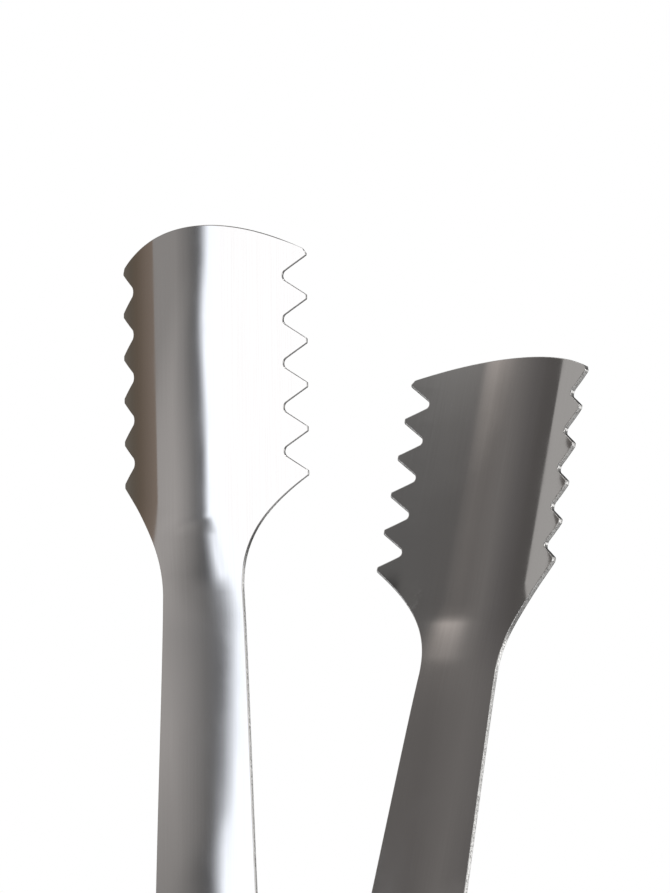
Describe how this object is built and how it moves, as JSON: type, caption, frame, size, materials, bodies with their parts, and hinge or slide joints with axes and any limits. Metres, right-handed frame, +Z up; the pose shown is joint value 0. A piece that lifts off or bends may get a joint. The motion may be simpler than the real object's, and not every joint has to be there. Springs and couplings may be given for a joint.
{
  "type": "serving tongs",
  "caption": "Hinged steel serving tongs with tapered arms, dished toothed jaws and a riveted pin; a torsion spring holds them open and the hand squeezes them shut.",
  "frame": {"origin": "middle of the footprint of the heel on which the open tongs stand, on the lower face of the heel lips", "axes": "+Z up the tongs from the heel to the jaws, X the direction in which the arms open with left_arm at -X, Y across the arms along the hinge pin with its domed head at -Y"},
  "size_m": [0.0682, 0.0282, 0.1784],
  "materials": {
    "arm_steel": "stainless sheet, polished with faint lengthwise drawing lines",
    "rivet_steel": "turned stainless, satin",
    "washer_steel": "punched and drawn stainless, satin",
    "spring_steel": "drawn spring wire, semi-bright"
  },
  "bodies": {
    "left_arm": {"left_arm": "arm_steel", "hinge_pin": "rivet_steel", "pin_collar": "rivet_steel", "front_washer": "washer_steel", "rear_washer": "washer_steel", "spring_sleeve": "washer_steel", "torsion_spring": "spring_steel"},
    "right_arm": {"right_arm": "arm_steel"}
  },
  "joints": [
    {"name": "arm_pivot", "type": "hinge", "parent": "left_arm", "child": "right_arm", "pos_m": [0, 0, 0.00679], "axis": [0, -1, 0], "range_deg": [0, 19.6], "stiffness_Nm_per_rad": 0.8, "springref_deg": -8.59, "deforming": ["torsion_spring"]}
  ]
}
